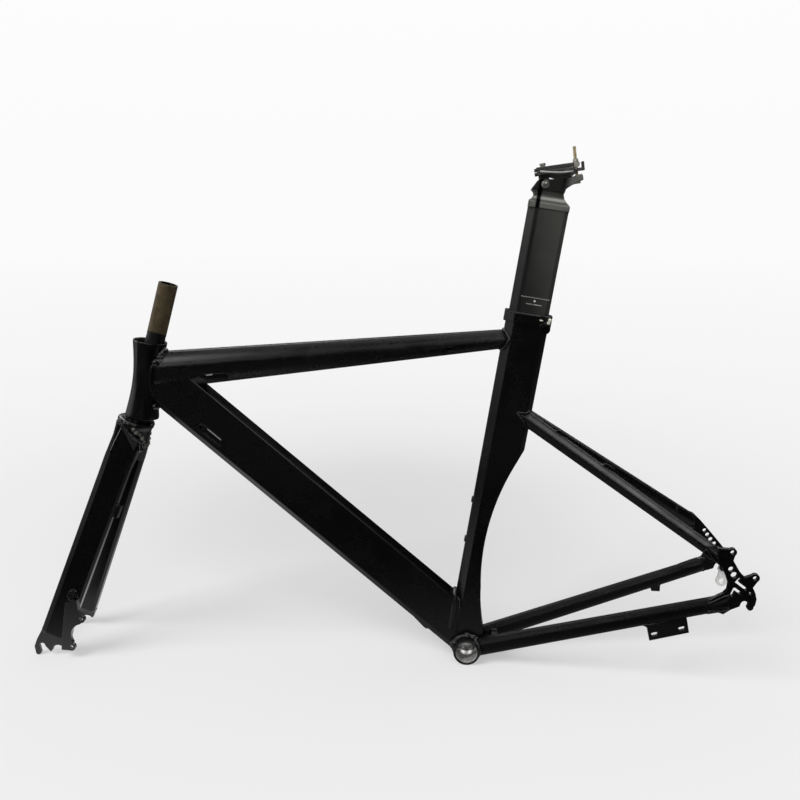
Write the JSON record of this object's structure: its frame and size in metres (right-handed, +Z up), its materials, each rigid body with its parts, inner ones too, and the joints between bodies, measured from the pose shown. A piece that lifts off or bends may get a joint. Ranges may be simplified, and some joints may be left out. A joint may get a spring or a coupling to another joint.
{
  "type": "bicycle frame",
  "caption": "Bicycle frameset with deep aero tubes, a straight fork leaning loose in the head tube, a bladed seatpost with tilting saddle clamp, disc brake tabs and open wheel slots.",
  "frame": {"origin": "centre of the bottom bracket shell", "axes": "+X to the rear of the frame, +Y to its right side, +Z up, as it stands on the bottom bracket shell and the two fork tips"},
  "size_m": [1.0917, 0.1587, 0.772],
  "materials": {
    "black_paint": "satin black paint on welded aluminium tube",
    "black_anodised": "satin black on aluminium",
    "bare_steel": "bare drawn steel tube, lightly browned",
    "bare_alloy": "bare machined aluminium",
    "bolt_steel": "plated steel"
  },
  "bodies": {
    "frame": {"head_tube": "black_paint", "top_tube": "black_paint", "down_tube": "black_paint", "seat_tube": "black_paint", "bb_shell": "black_paint", "left_chainstay": "black_paint", "right_chainstay": "black_paint", "left_seatstay": "black_paint", "right_seatstay": "black_paint", "seatstay_bridge": "black_paint", "chainstay_bridge": "black_paint", "left_dropout": "black_paint", "right_dropout": "black_paint", "derailleur_hanger": "bare_alloy", "hanger_bolts": "bolt_steel", "kickstand_plate": "black_paint", "seatstay_hose_guide": "black_paint", "chainstay_cable_guide": "black_paint", "top_front_port": "black_paint", "top_rear_port": "black_paint", "down_tube_port": "black_paint", "down_tube_outlet": "black_paint", "bottle_bosses": "black_paint", "seat_collar": "black_paint", "collar_screw": "bolt_steel"},
    "fork": {"steerer": "bare_steel", "fork_crown": "black_paint", "crown_race": "black_paint", "left_blade": "black_paint", "right_blade": "black_paint", "left_fork_tip": "black_paint", "right_fork_tip": "black_paint", "fork_brake_mount": "black_paint", "fork_hose_guide": "black_paint", "fork_eyelet": "black_paint"},
    "post": {"post_tube": "black_anodised", "post_head": "black_anodised", "tilt_pin": "bolt_steel", "tilt_bolt": "bolt_steel"},
    "saddle_clamp": {"saddle_cradle": "black_anodised", "saddle_clamp": "black_anodised", "clamp_screw": "bolt_steel", "clamp_washer": "bolt_steel"},
    "tilt_nuts": {"barrel_nut": "bolt_steel", "dome_nut": "bolt_steel"}
  },
  "joints": [
    {"name": "fork_steer", "type": "hinge", "parent": "frame", "child": "fork", "pos_m": [-0.49234, 0, 0.41483], "axis": [0.2834, 0, 0.959], "continuous": true},
    {"name": "seatpost_slide", "type": "slide", "parent": "frame", "child": "post", "axis": [0.1538, 0, 0.9881], "range_m": [-0.12, 0.02]},
    {"name": "saddle_tilt", "type": "hinge", "parent": "post", "child": "saddle_clamp", "pos_m": [0.09777, 0, 0.7007], "axis": [0, -1, 0], "range_deg": [-4, 6]},
    {"name": "nut_travel", "type": "slide", "parent": "post", "child": "tilt_nuts", "axis": [-0.1349, 0, 0.9909], "range_m": [-0.0036, 0.0052]}
  ],
  "couplings": [
    {"joint": "nut_travel", "follows": "saddle_tilt", "m_per_rad": 0.04543}
  ]
}
